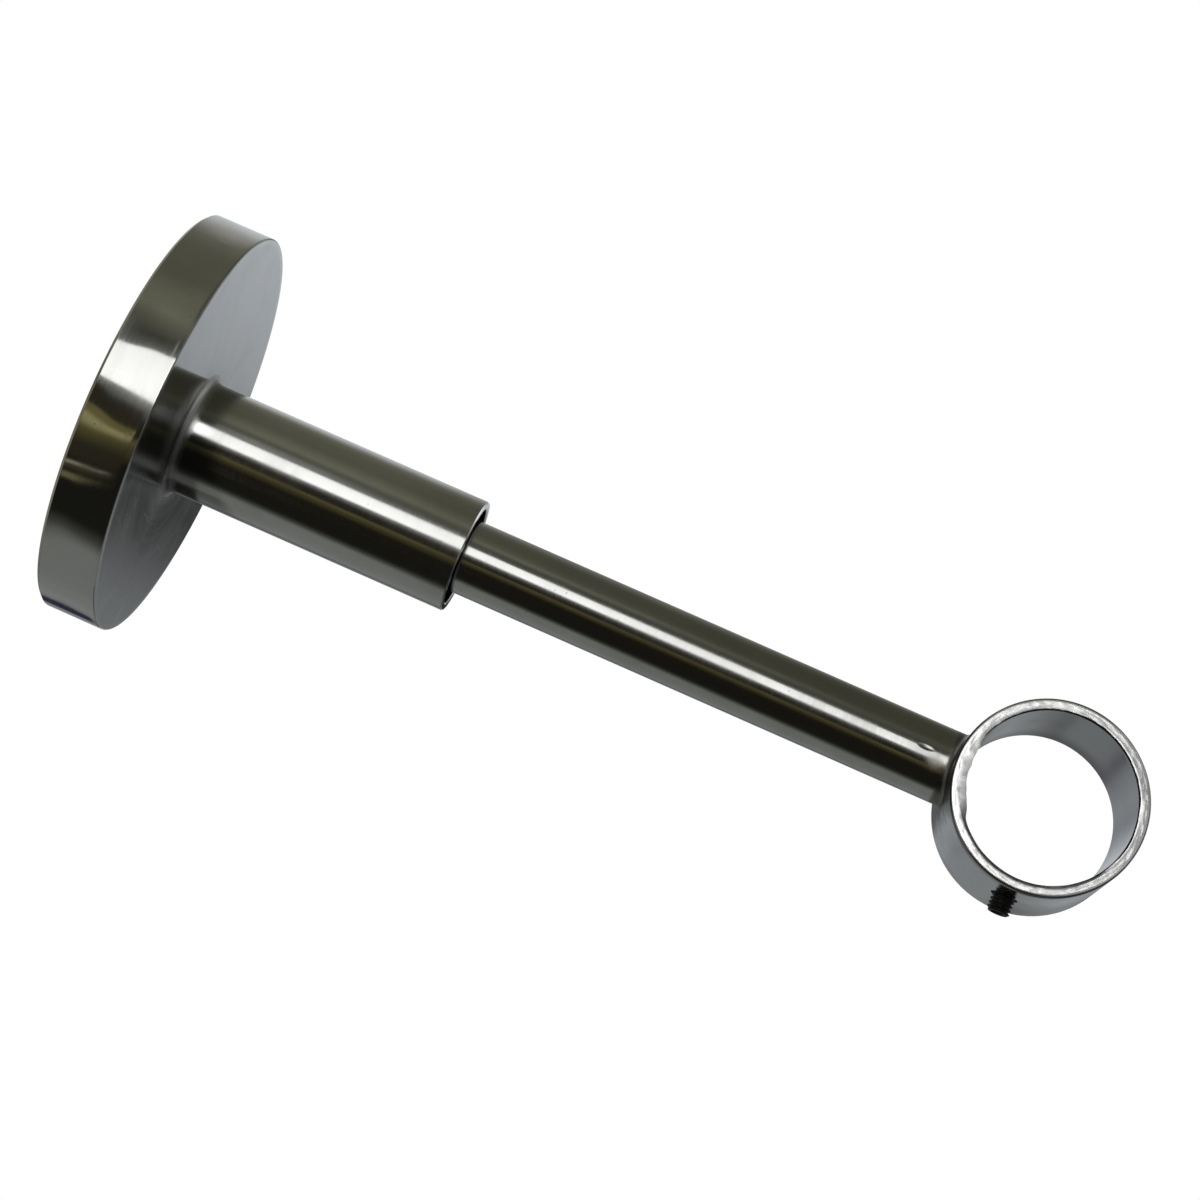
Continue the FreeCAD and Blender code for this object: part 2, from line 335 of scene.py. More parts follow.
def turn(name, profile, finish, holes=(), sharp_angle=30.0, **inputs):
    """Turns a profile of (radius, place along the axis, marks) into a piece.
    Each hole is (start, direction, rings), and each ring is (depth, radius)."""
    mesh = bpy.data.meshes.new(name + "_profile")
    points = [(p[0], 0.0, p[1]) for p in profile]
    mesh.from_pydata(points, [(i, i + 1) for i in range(len(points) - 1)], [])
    for mark in ("thread", "hexagon", "raw", "burr"):
        layer = mesh.attributes.new(mark, "FLOAT", "POINT")
        layer.data.foreach_set("value", [float((p[2] if len(p) > 2 else {}).get(mark, 0.0)) for p in profile])
    piece = bpy.data.objects.new(name, mesh)
    bpy.context.scene.collection.objects.link(piece)
    lathe = piece.modifiers.new("lathe", "NODES")
    lathe.node_group = turned_piece
    sockets = {s.name: s.identifier for s in turned_piece.interface.items_tree if s.in_out == "INPUT"}
    for key, value in {"Finish": finish, **inputs}.items():
        lathe[sockets[key]] = value
    cutters = []
    sides = 48
    for start, direction, rings in holes:
        drill_mesh = bpy.data.meshes.new(name + "_drill")
        work = bmesh.new()
        loops = []
        for depth, radius in rings:
            around = np.arange(sides) * math.tau / sides
            loops.append([work.verts.new((radius * math.cos(a), radius * math.sin(a), depth)) for a in around])
        for low, high in zip(loops, loops[1:]):
            for i in range(sides):
                beside = (i + 1) % sides
                work.faces.new((low[i], low[beside], high[beside], high[i]))
        work.faces.new(list(reversed(loops[0])))
        work.faces.new(loops[-1])
        aim = Vector(direction).to_track_quat("Z", "X").to_matrix().to_4x4()
        work.transform(Matrix.Translation(start) @ aim)
        bmesh.ops.recalc_face_normals(work, faces=work.faces)
        work.to_mesh(drill_mesh)
        work.free()
        drill = bpy.data.objects.new(name + "_drill", drill_mesh)
        bpy.context.scene.collection.objects.link(drill)
        cut = piece.modifiers.new("drill", "BOOLEAN")
        cut.object = drill
        cut.operation = "DIFFERENCE"
        cut.solver = "EXACT"
        cutters.append(drill)
    made = bpy.data.meshes.new_from_object(piece.evaluated_get(bpy.context.evaluated_depsgraph_get()))
    piece.modifiers.clear()
    piece.data = made
    made.name = name
    made.materials.clear()
    made.materials.append(finish)
    made.polygons.foreach_set("material_index", [0] * len(made.polygons))
    bpy.data.meshes.remove(mesh)
    for drill in cutters:
        drill_mesh = drill.data
        bpy.data.objects.remove(drill)
        bpy.data.meshes.remove(drill_mesh)
    tidy_mesh(made, sharp_angle)
    return piece


def steps(start, end, count):
    """Evenly spaced values from start to end."""
    return [start + (end - start) * i / count for i in range(count + 1)]


def corner(radius_centre, place_centre, size, first, last, count=5):
    """Points of a small round, from one angle to another in degrees."""
    return [(radius_centre + size * math.cos(math.radians(a)), place_centre + size * math.sin(math.radians(a)))
            for a in steps(first, last, count)]


def turning_group():
    """Lines of turning and buffing about an axis: X is along the axis, Y and Z across it."""
    tree, given, result = new_group(
        "turning_lines",
        [("Vector", "Vector", None), ("Lines", "Float", 2600.0), ("Along", "Float", 0.0)],
        [("Fine", "Float"), ("Broad", "Float")],
    )
    place = put(tree, "ShaderNodeSeparateXYZ", {"Vector": given["Vector"]}).outputs
    flat = put(tree, "ShaderNodeCombineXYZ", {"X": place["Y"], "Y": place["Z"]}).outputs[0]
    radius = put(tree, "ShaderNodeVectorMath", {0: flat}, operation="LENGTH").outputs["Value"]
    round_it = put(tree, "ShaderNodeVectorMath", {0: flat}, operation="NORMALIZE").outputs[0]
    round_it = put(tree, "ShaderNodeSeparateXYZ", {"Vector": round_it}).outputs
    for name, share, detail, bend in (("Fine", 1.0, 3.0, 0.9), ("Broad", 0.11, 2.0, 0.5)):
        step = product(tree, given["Lines"], share)
        line = put(tree, "ShaderNodeCombineXYZ", {
            "X": product(tree, place["X"], step),
            "Y": product(tree, radius, step),
            "Z": product(tree, round_it["X"], bend)}).outputs[0]
        around = product(tree, round_it["Y"], bend)
        tree.links.new(noise(tree, line, 1.0, detail, 0.6, fourth=around), result[name])
    return tree


turning_lines = turning_group()


def axis_first(tree, place, axis):
    """The piece's coordinates with its turning axis first."""
    parts = put(tree, "ShaderNodeSeparateXYZ", {"Vector": place}).outputs
    order = {"X": "XYZ", "Y": "YXZ", "Z": "ZXY"}[axis]
    return put(tree, "ShaderNodeCombineXYZ", {new: parts[old] for new, old in zip("XYZ", order)}).outputs[0], parts


def length_of(tree, first, second):
    """How far a point lies from an axis, from its two coordinates across it."""
    flat = put(tree, "ShaderNodeCombineXYZ", {"X": first, "Y": second}).outputs[0]
    return put(tree, "ShaderNodeVectorMath", {0: flat}, operation="LENGTH").outputs["Value"]


def lines_on(tree, vector, lines):
    node = put(tree, "ShaderNodeGroup", node_tree=turning_lines)
    tree.links.new(vector, node.inputs["Vector"])
    node.inputs["Lines"].default_value = lines
    return node.outputs


def dark_nickel(name, roughness, along=False, extra=None):
    """Polished dark nickel plate: deep grey with an olive cast, faint turning lines, polish waves and fine wear.
    Along adds drawing lines down a tube, and extra adds what one piece alone has."""
    material, tree, shader, place = new_finish(name)
    vector, parts = axis_first(tree, place, "Y")
    lines = lines_on(tree, vector, 2600.0)
    marks = marks_on(tree, place, 55.0, 70.0)
    waves = noise(tree, place, 90.0, 1.0, 0.35)
    drawn = put(tree, "ShaderNodeMapping", {"Vector": place, "Scale": (1.0, 0.035, 1.0)})
    drawn = noise(tree, drawn.outputs[0], 900.0, 4.0, 0.6)
    colour = tint(tree, marks["Clouds"], (0.335, 0.337, 0.328), (0.300, 0.300, 0.290))
    colour = tint(tree, product(tree, marks["Scratches"], 0.30), colour, (0.46, 0.455, 0.44))
    colour = tint(tree, product(tree, marks["Specks"], 0.5), colour, (0.16, 0.155, 0.14))
    rough = plus_share(tree, calc(tree, "SUBTRACT", lines["Fine"], 0.5), 0.10, roughness)
    rough = plus_share(tree, marks["Clouds"], 0.05, rough)
    rough = plus_share(tree, marks["Scratches"], 0.07, rough)
    rough = plus_share(tree, marks["Specks"], 0.05, rough)
    normal = bump(tree, waves, 1.0, 0.00002)
    normal = bump(tree, lines["Broad"], 0.10, 0.00003, normal)
    normal = bump(tree, lines["Fine"], 0.06, 0.000012, normal)
    if along:
        normal = bump(tree, drawn, 0.10, 0.00002, normal)
        rough = plus_share(tree, calc(tree, "SUBTRACT", drawn, 0.5), 0.08, rough)
    if extra is not None:
        colour, rough, normal = extra(tree, place, parts, colour, rough, normal)
    tree.links.new(colour, shader.inputs["Base Color"])
    tree.links.new(rough, shader.inputs["Roughness"])
    tree.links.new(normal, shader.inputs["Normal"])
    shader.inputs["Metallic"].default_value = 1.0
    return material


front = rose_depth
inside = rose_depth - rose_face
bore = rose_radius - rose_wall
rose_profile = [(stem_radius, inside), (stem_radius, front)]
rose_profile += [(r, front) for r in steps(stem_radius, rose_radius - rose_round, 26)[1:-1]]
rose_profile += corner(rose_radius - rose_round, front - rose_round, rose_round, 90.0, 0.0)
rose_profile += [(rose_radius, s) for s in steps(front - rose_round, rose_gap + rose_chamfer, 10)[1:]]
rose_profile += [(rose_radius - rose_chamfer, rose_gap), (bore, rose_gap)]
rose_profile += [(bore, s) for s in steps(rose_gap, inside, 6)[1:]]
rose_profile += [(r, inside) for r in steps(bore, stem_radius, 12)[1:]]


def buffed_rose(tree, place, parts, colour, rough, normal):
    """The rim is buffed by hand into long waves. The flat face is truer, and dull only round the brazed foot."""
    face = spread(tree, parts["Y"], -10.45 * mm, -10.58 * mm)
    rough = plus_share(tree, face, 0.03, rough)
    radius = length_of(tree, parts["X"], parts["Z"])
    swell = noise(tree, place, 62.0, 1.0, 0.35)
    on_rim = calc(tree, "SUBTRACT", 1.0, face)
    normal = bump(tree, product(tree, swell, on_rim), 1.0, 0.00080, normal)
    foot_zone = product(tree, face, spread(tree, radius, 14.5 * mm, 11.0 * mm))
    rough = plus_share(tree, foot_zone, 0.03, rough)
    low_face = product(tree, face, spread(tree, parts["Z"], 0.0, -5.0 * mm))
    rough = plus_share(tree, low_face, 0.07, rough)
    # Painted shade: the rim's back edge, by the wall, is darkened to a dark olive.
    back = spread(tree, parts["Y"], -0.80 * mm, -0.68 * mm)
    colour = tint(tree, product(tree, back, 0.85), colour, (0.19, 0.18, 0.10))
    rough = plus_share(tree, back, 0.18, rough)
    return colour, rough, normal


rose_finish = dark_nickel("dark_nickel_rose", roughness=0.08, extra=buffed_rose)
to_room = (math.pi / 2, 0.0, 0.0)
rose = turn("turned_rose", rose_profile, rose_finish, Segments=320, Turn=to_room)
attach(rose, "wall_fitting")
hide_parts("rose")


# Stem. A polished tube, brazed square to the rose with a small bead at its foot.
# It hides the socket tube, and a hole on its top lets a key reach the lock screw.

stem_bore = 8.5 * mm
stem_reach = 60.9 * mm
stem_bead = 1.3 * mm
mouth_chamfer = 0.2 * mm
lock_place = 41.9 * mm
way_in = 2.4 * mm
way_in_start = 7.0 * mm
way_in_end = 13.0 * mm

foot = rose_depth
stem_profile = [(stem_bore, inside), (stem_radius, inside), (stem_radius, foot)]
stem_profile += corner(stem_radius + stem_bead, foot + stem_bead, stem_bead, 270.0, 180.0, 10)
stem_profile += [(stem_radius, s) for s in steps(foot + stem_bead, stem_reach - mouth_chamfer, 64)[1:]]
stem_profile += [(stem_radius - mouth_chamfer, stem_reach), (stem_bore + mouth_chamfer, stem_reach)]
stem_profile += [(stem_bore, s) for s in steps(stem_reach - mouth_chamfer, inside, 64)]


def brazed_foot(tree, place, parts, colour, rough, normal):
    """The bead at the foot is dressed by hand, so it is duller. Below it, the stem's lower side is painted dark as a
    shade.
    The cut end of the tube is rubbed bright at its top."""
    bead = spread(tree, parts["Y"], -13.0 * mm, -11.4 * mm)
    lumps = noise(tree, place, 520.0, 3.0, 0.55)
    colour = tint(tree, product(tree, bead, 0.35), colour, (0.26, 0.26, 0.25))
    rough = plus_share(tree, bead, 0.30, rough)
    # Painted shade: the stem's lower side below the bead is darkened, with a lighter streak left through it.
    border = plus_share(tree, parts["X"], 0.63, parts["Y"])
    streak = spread(tree, parts["X"], -7.2 * mm, -6.4 * mm)
    streak = product(tree, streak, spread(tree, parts["X"], -3.8 * mm, -4.6 * mm))
    painted_foot_shade = product(
        tree, spread(tree, border, -25.4 * mm, -21.8 * mm), spread(tree, parts["Z"], -0.4 * mm, -3.2 * mm),
        spread(tree, parts["X"], 4.5 * mm, 0.0), plus_share(tree, streak, -0.60, 1.0),
    )
    colour = tint(tree, product(tree, painted_foot_shade, 0.66), colour, (0.05, 0.05, 0.045))
    bare_end = spread(tree, parts["Y"], 0.28 * mm - stem_reach, 0.12 * mm - stem_reach)
    bare_end = product(tree, bare_end, spread(tree, parts["Z"], 3.0 * mm, 7.0 * mm))
    colour = tint(tree, bare_end, colour, (0.92, 0.92, 0.90))
    normal = bump(tree, product(tree, bead, lumps), 0.5, 0.00009, normal)
    return colour, rough, normal


stem_finish = dark_nickel("dark_nickel_stem", roughness=0.12, along=True, extra=brazed_foot)
stem = turn(
    "brazed_stem", stem_profile, stem_finish, Segments=192, Turn=to_room,
    holes=[((0.0, -lock_place, way_in_start), (0, 0, 1), [(0.0, way_in), (way_in_end - way_in_start, way_in)])],
)
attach(stem, "wall_fitting")
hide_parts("stem")


# Arm. A thinner polished tube that slides in the socket to set the reach. Its far
# end is shaped to the ring and brazed on, with the braze dressed to a small flare.

arm_radius = 6.35 * mm
arm_bore = 5.15 * mm
arm_start = -12.0 * mm
ring_centre = -164.0 * mm
ring_radius = 16.3 * mm
weld_gap = 0.03 * mm
flare = 1.0 * mm


def coped_tube(name, finish):
    """A tube along Y that ends on the ring's round, with a flare of one radius all the way round it."""
    around = 192
    seat = ring_radius + weld_gap
    angles = np.arange(around) * math.tau / around
    rows = []
    sweep = np.linspace(0.0, 1.0, 400)
    for angle in angles:
        slope = abs(math.sin(angle))
        reach = arm_radius + flare * 1.9 * sweep
        surface = ring_centre + np.sqrt(seat**2 - (reach * slope) ** 2)
        low, high = ring_centre + seat - 2 * flare, ring_centre + seat + 2 * flare
        for _ in range(40):
            middle = (low + high) / 2
            away = np.hypot(reach - arm_radius - flare, surface - middle)
            below = surface[np.argmin(np.abs(reach - arm_radius - flare))] > middle
            if below or away.min() < flare:
                low = middle
            else:
                high = middle
        touch = int(np.argmin(np.hypot(reach - arm_radius - flare, surface - high)))
        last = math.atan2(surface[touch] - high, reach[touch] - arm_radius - flare)
        last = last if last < 0 else last - math.tau
        arc = np.linspace(-math.pi, last, 15)
        outside = [(arm_radius, y) for y in np.linspace(arm_start, high, 90)[:-1]]
        outside += [(arm_radius + flare + flare * math.cos(a), high + flare * math.sin(a)) for a in arc]
        end = outside[-1][0]
        across = np.linspace(end, arm_bore, 8)[1:]
        inner = [(r, ring_centre + math.sqrt(seat**2 - (r * slope) ** 2)) for r in across]
        back = [(arm_bore, y) for y in np.linspace(inner[-1][1], arm_start, 40)[1:]]
        rows.append(outside + inner + back)
    work = bmesh.new()
    grid = [
        [work.verts.new((r * math.cos(a), y, r * math.sin(a))) for r, y in row] for a, row in zip(angles, rows)
    ]
    length = len(grid[0])
    for i in range(around):
        here, there = grid[i], grid[(i + 1) % around]
        for j in range(length):
            work.faces.new((here[j], there[j], there[(j + 1) % length], here[(j + 1) % length]))
    mesh = bpy.data.meshes.new(name)
    work.to_mesh(mesh)
    work.free()
    mesh.materials.append(finish)
    tidy_mesh(mesh, 40.0)
    piece = bpy.data.objects.new(name, mesh)
    bpy.context.scene.collection.objects.link(piece)
    return piece


def braze_marks(tree, place, parts, colour, rough, normal):
    """Where the arm is brazed to the ring: a slightly pitted band, painted dark as the shade in the joint, a rubbed
    patch whose lighter colour is partly a painted highlight, and a small dint painted darker as the shade in its
    hollow.
    """
    # The braze band is partly real and partly painted shade: it is darkened as the shade in the joint against the ring.
    braze_band_and_shade = spread(tree, parts["Y"], -0.1464, -0.1473)
    pits = noise(tree, place, 900.0, 3.0, 0.6)
    colour = tint(tree, product(tree, braze_band_and_shade, 0.85), colour, (0.105, 0.10, 0.090))
    rough = plus_share(tree, braze_band_and_shade, plus_share(tree, pits, 0.20, 0.10), rough)
    normal = bump(tree, product(tree, braze_band_and_shade, pits), 0.5, 0.00010, normal)

    def spot(centre, sizes):
        """A soft oval, 1 at its centre and 0 at its edge."""
        from_it = put(tree, "ShaderNodeVectorMath", {0: place, 1: centre}, operation="SUBTRACT").outputs[0]
        from_it = put(tree, "ShaderNodeVectorMath", {0: from_it, 1: sizes}, operation="DIVIDE").outputs[0]
        away = put(tree, "ShaderNodeVectorMath", {0: from_it}, operation="LENGTH").outputs["Value"]
        return spread(tree, away, 1.0, 0.0)

    # The rubbed patch is partly a painted highlight: its lighter colour widens the highlight where the arm meets the
    # ring.
    rubbed = spot((-6.6 * mm, -145.1 * mm, -1.6 * mm), (3.0 * mm, 2.4 * mm, 2.0 * mm))
    colour = tint(tree, product(tree, rubbed, 0.9), colour, (0.52, 0.49, 0.45))
    rough = plus_share(tree, rubbed, 0.30, rough)
    # The dint is also painted darker, a painted shade in its hollow.
    dint = spot((-6.3 * mm, -142.8 * mm, 0.35 * mm), (2.0 * mm, 1.7 * mm, 0.55 * mm))
    colour = tint(tree, product(tree, dint, 0.5), colour, (0.20, 0.19, 0.17))
    normal = bump(tree, dint, 1.0, -0.00005, normal)
    return colour, rough, normal


arm_finish = dark_nickel("dark_nickel_arm", roughness=0.12, along=True, extra=braze_marks)
arm = coped_tube("coped_arm", arm_finish)
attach(arm, "arm")
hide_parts("arm")


# Ring. A length cut from steel tube that takes the 28 mm pole. Its wall is satin
# nickel, and both saw cuts are bare and bright, with a torn burr left at the bore.

ring_bore = 14.3 * mm
half_width = 11.0 * mm
bore_chamfer = 0.4 * mm
outer_round = 0.6 * mm
pole_screw_side = -2.0 * mm
tapped = 2.05 * mm
hole_chamfer = 0.2 * mm
drill_start = 13.0 * mm
drill_end = 18.0 * mm

ring_profile = corner(ring_radius - outer_round, half_width - outer_round, outer_round, 0.0, 90.0, 6)
face_edge = ring_radius - outer_round
ring_profile += [(r, half_width, {"raw": 1.0}) for r in steps(face_edge, ring_bore + bore_chamfer, 7)[1:]]
ring_profile += [(ring_bore, half_width - bore_chamfer)]
ring_profile += [(ring_bore, s) for s in steps(half_width - bore_chamfer, bore_chamfer * 2 - half_width, 40)[1:]]
ring_profile += [(ring_bore, bore_chamfer - half_width, {"burr": 0.35})]
ring_profile += [(ring_bore + bore_chamfer * 0.7, 0.03 * mm - half_width, {"burr": 1.0})]
ring_profile += [(ring_bore + bore_chamfer, -half_width, {"raw": 1.0, "burr": 0.9})]
ring_profile += [(r, -half_width, {"raw": 1.0}) for r in steps(ring_bore + bore_chamfer * 2, face_edge, 6)]
ring_profile += corner(ring_radius - outer_round, outer_round - half_width, outer_round, 270.0, 360.0, 6)[1:]
ring_profile += [(ring_radius, s) for s in steps(outer_round - half_width, half_width - outer_round, 40)[1:]]


def ring_finish():
    """Satin nickel on the rolled wall, and bare bright steel with saw marks on both cut faces. Painted shade darkens
    the wall near the braze where it mirrors the arm, at its edges, on its far side, in the bore's far end and in the
    screw's hole; a painted shadow line lies by the bore, and the bore's lower lip is painted dark."""
    material, tree, shader, place = new_finish("satin_nickel_ring")
    centred = put(tree, "ShaderNodeMapping", {"Vector": place, "Location": (0.0, -ring_centre, 0.0)}).outputs[0]
    vector, parts = axis_first(tree, centred, "X")
    lines = lines_on(tree, vector, 2300.0)
    marks = marks_on(tree, place, 90.0, 80.0)
    from_middle = calc(tree, "ABSOLUTE", parts["X"])
    cut = spread(tree, from_middle, 10.90 * mm, 10.95 * mm)
    saw = put(tree, "ShaderNodeMapping", {"Vector": place, "Rotation": (0.9, 0.0, 0.0), "Scale": (1.0, 0.06, 1.0)})
    saw = noise(tree, saw.outputs[0], 1500.0, 4.0, 0.6)
    crumbs = noise(tree, place, 1100.0, 5.0, 0.7)
    patches = noise(tree, place, 210.0, 3.0, 0.55)
    colour = tint(tree, marks["Clouds"], (0.78, 0.795, 0.80), (0.72, 0.735, 0.74))
    across = length_of(tree, parts["Y"], parts["Z"])
    bored = spread(tree, across, 15.0 * mm, 14.6 * mm)
    colour = tint(tree, bored, colour, (0.47, 0.482, 0.488))
    # Painted reflection: the outer wall is darkened beside the arm, where it mirrors the dark arm; its border is
    # ragged.
    ragged = plus_share(tree, calc(tree, "SUBTRACT", patches, 0.5), 2.0 * mm, parts["Y"])
    outer_wall = spread(tree, bored, 1.0, 0.0)
    arm_mirror_shade = product(tree, spread(tree, ragged, 12.6 * mm, 15.0 * mm), 0.96)
    arm_mirror_shade = product(tree, arm_mirror_shade, outer_wall)
    colour = tint(tree, arm_mirror_shade, colour, (0.06, 0.058, 0.053))
    # Painted shade: a darker band along the outer wall just behind the near cut face.
    near_face_shade = product(tree, spread(tree, parts["X"], -8.7 * mm, -10.3 * mm), outer_wall)
    colour = tint(tree, product(tree, near_face_shade, 0.62), colour, (0.16, 0.16, 0.16))
    # Painted shade: the lower far side of the outer wall is darkened.
    far_side_shade = product(
        tree, spread(tree, parts["X"], -4.0 * mm, 7.0 * mm), spread(tree, parts["Y"], 3.0 * mm, -2.0 * mm),
        outer_wall, spread(tree, parts["Z"], -4.0 * mm, -8.0 * mm),
    )
    colour = tint(tree, product(tree, far_side_shade, 0.85), colour, (0.15, 0.15, 0.147))
    # Painted shade: the bore is darkened towards its far end.
    far_bore_shade = product(
        tree, spread(tree, parts["X"], 3.0 * mm, 10.5 * mm), spread(tree, parts["Y"], -11.0 * mm, -6.0 * mm),
        bored, 0.75,
    )
    colour = tint(tree, far_bore_shade, colour, (0.09, 0.092, 0.095))
    # Painted shade: the screw's hole and its countersink are painted near black.
    hole_shade = length_of(tree, calc(tree, "SUBTRACT", parts["X"], pole_screw_side), parts["Y"])
    hole_shade = spread(tree, hole_shade, tapped + 0.35 * mm, tapped + 0.23 * mm)
    hole_shade = product(tree, hole_shade, spread(tree, parts["Z"], 0.0, -5.0 * mm))
    colour = tint(tree, hole_shade, colour, (0.020, 0.019, 0.018))
    bare = tint(tree, spread(tree, saw, 0.35, 0.65), (0.86, 0.86, 0.87), (0.97, 0.97, 0.98))
    bare = tint(tree, spread(tree, patches, 0.58, 0.72, 0.0, 0.5), bare, (0.42, 0.42, 0.425))
    dulled = spread(tree, parts["Y"], -4.0 * mm, -13.0 * mm)
    dulled = product(tree, dulled, spread(tree, parts["Z"], -8.0 * mm, -1.0 * mm), 0.5)
    bare = tint(tree, dulled, bare, (0.40, 0.40, 0.405))
    # Painted shadow: a dark line on the cut face just outside the bore's chamfer.
    bore_shadow_line = calc(tree, "ABSOLUTE", calc(tree, "SUBTRACT", across, ring_bore + 0.58 * mm))
    bore_shadow_line = product(tree, spread(tree, bore_shadow_line, 0.24 * mm, 0.10 * mm), spread(tree, patches, 0.34, 0.56))
    bore_shadow_line = product(tree, bore_shadow_line, spread(tree, parts["Y"], 9.0 * mm, 5.0 * mm, 0.35, 0.75))
    bare = tint(tree, product(tree, bore_shadow_line, 0.85), bare, (0.10, 0.10, 0.105))
    # Painted shade: the outer edges are darkened, near black where they meet the arm.
    edge_shade = spread(tree, from_middle, 10.40 * mm, 10.58 * mm)
    edge_shade_colour = tint(tree, arm_mirror_shade, (0.12, 0.12, 0.122), (0.020, 0.020, 0.018))
    colour = tint(tree, plus_share(tree, arm_mirror_shade, 0.20, product(tree, edge_shade, 0.78)), colour, edge_shade_colour)
    colour = tint(tree, cut, colour, bare)
    # Painted shade: the bore's lip on the cut face is painted dark, darker on its lower side.
    lower_lip_shade = product(
        tree, spread(tree, across, 14.88 * mm, 14.76 * mm), spread(tree, from_middle, 10.50 * mm, 10.58 * mm),
        spread(tree, parts["Z"], -4.0 * mm, -9.0 * mm, 0.08, 0.90),
    )
    colour = tint(tree, lower_lip_shade, colour, (0.050, 0.050, 0.052))
    colour = tint(tree, product(tree, marks["Specks"], 0.6), colour, (0.18, 0.18, 0.18))
    rough = plus_share(tree, calc(tree, "SUBTRACT", lines["Fine"], 0.5), 0.10, 0.17)
    rough = plus_share(tree, marks["Clouds"], 0.06, rough)
    rough = plus_share(tree, arm_mirror_shade, 0.14, rough)
    rough = plus_share(tree, hole_shade, 0.45, rough)
    rough_cut = plus_share(tree, crumbs, 0.26, 0.20)
    rough = put(tree, "ShaderNodeMix", {0: cut, 2: rough, 3: rough_cut}, data_type="FLOAT").outputs[0]
    tree.links.new(colour, shader.inputs["Base Color"])
    tree.links.new(rough, shader.inputs["Roughness"])
    shader.inputs["Metallic"].default_value = 1.0
    normal = bump(tree, lines["Fine"], 0.08, 0.00002)
    relief = product(tree, cut, calc(tree, "ADD", saw, crumbs))
    normal = bump(tree, relief, 0.20, 0.00006, normal)
    tree.links.new(normal, shader.inputs["Normal"])
    return material


raw_cut = {"Rawness": 0.14 * mm, "Seed": 3.0, "Torn depth": 0.90 * mm, "Torn side": math.radians(80.0)}
ring = turn(
    "pole_ring", ring_profile, ring_finish(), sharp_angle=28.0, Segments=288,
    Turn=(0.0, math.pi / 2, 0.0), Place=(0.0, ring_centre, 0.0), **raw_cut,
    holes=[((pole_screw_side, ring_centre, -drill_start), (0, 0, -1),
            [(0.0, tapped), (ring_radius - drill_start - hole_chamfer, tapped),
             (ring_radius - drill_start, tapped + hole_chamfer),
             (drill_end - drill_start, tapped + hole_chamfer)])],
)
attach(ring, "arm")
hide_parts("ring")


# Pole screw. A black oxide M4 set screw with a hexagon socket, turned from steel.
# It comes up through the ring's tapped hole and bears on the pole.

thread_radius = 2.0 * mm
thread_pitch = 0.7 * mm
thread_depth = 0.40 * mm
key_size = 2.0 * mm
key_depth = 1.6 * mm
key_chamfer = 0.35 * mm
tip_chamfer = 0.6 * mm
pole_screw_length = 4.0 * mm
pole_screw_tip = -15.1 * mm


def set_screw_profile(length):
    """Profile of a set screw from its flat tip, over the thread, to the bottom of its socket."""
    flat = key_size / 2
    tip = thread_radius - tip_chamfer
    points = [(0.0, 0.0), (tip, 0.0)]
    points += [(thread_radius, tip_chamfer * 0.8, {"thread": 0.2})]
    rows = int((length - tip_chamfer) / (thread_pitch / 16))
    for i, s in enumerate(steps(tip_chamfer * 0.8, length - 0.30 * mm, rows)[1:]):
        points.append((thread_radius, s, {"thread": min(1.0, 0.2 + i / 6.0)}))
    points += [(thread_radius - 0.10 * mm, length - 0.16 * mm, {"thread": 0.5})]
    points += [(thread_radius - 0.32 * mm, length, {"thread": 0.1})]
    points += [(flat + key_chamfer * 0.7, length)]
    points += [(flat, length - key_chamfer * 0.5, {"hexagon": 1.0})]
    points += [(flat, s, {"hexagon": 1.0}) for s in steps(length - key_chamfer * 0.5, length - key_depth, 5)[1:]]
    points += [(flat * 0.6, length - key_depth - 0.1 * mm, {"hexagon": 0.4}), (0.0, length - key_depth - 0.3 * mm)]
    return points


def black_oxide():
    """Oil black steel: nearly black, a little brown, and rubbed bright in fine spots of grit."""
    material, tree, shader, place = new_finish("black_oxide_screw")
    marks = marks_on(tree, place, 400.0, 200.0)
    grit = noise(tree, place, 2600.0, 5.0, 0.7)
    colour = tint(tree, marks["Clouds"], (0.016, 0.015, 0.015), (0.034, 0.032, 0.030))
    rubbed = spread(tree, grit, 0.60, 0.72, 0.0, 0.45)
    colour = tint(tree, rubbed, colour, (0.13, 0.127, 0.122))
    tree.links.new(colour, shader.inputs["Base Color"])
    tree.links.new(plus_share(tree, grit, 0.30, 0.34), shader.inputs["Roughness"])
    shader.inputs["Metallic"].default_value = 0.85
    tree.links.new(bump(tree, grit, 0.4, 0.00006), shader.inputs["Normal"])
    return material


screw_finish = black_oxide()
pole_screw = turn(
    "pole_set_screw", set_screw_profile(pole_screw_length), screw_finish, sharp_angle=38.0, Segments=72,
    **{"Pitch": thread_pitch, "Thread depth": thread_depth, "Turn": (math.pi, 0.0, 0.4),
       "Place": (pole_screw_side, ring_centre, pole_screw_tip)},
)
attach(pole_screw, "pole_screw")
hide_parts("pole_screw")


# Lock screw. The same M4 set screw, a size shorter. It sits in the socket tube
# under the hole in the stem and pinches the arm once the reach is set.

lock_screw_length = 3.0 * mm
lock_screw_tip = 6.45 * mm

lock_screw = turn(
    "lock_set_screw", set_screw_profile(lock_screw_length), screw_finish, sharp_angle=38.0, Segments=72,
    **{"Pitch": thread_pitch, "Thread depth": thread_depth, "Turn": (0.0, 0.0, 0.2),
       "Place": (0.0, -lock_place, lock_screw_tip)},
)
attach(lock_screw, "lock_screw")
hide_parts("lock_screw")


# Floor. A wide pale sheet of matt board, well below the bracket, which hangs in
# front of the camera as it would on a wall.

floor_half_side = 6.0
floor_height = -0.30

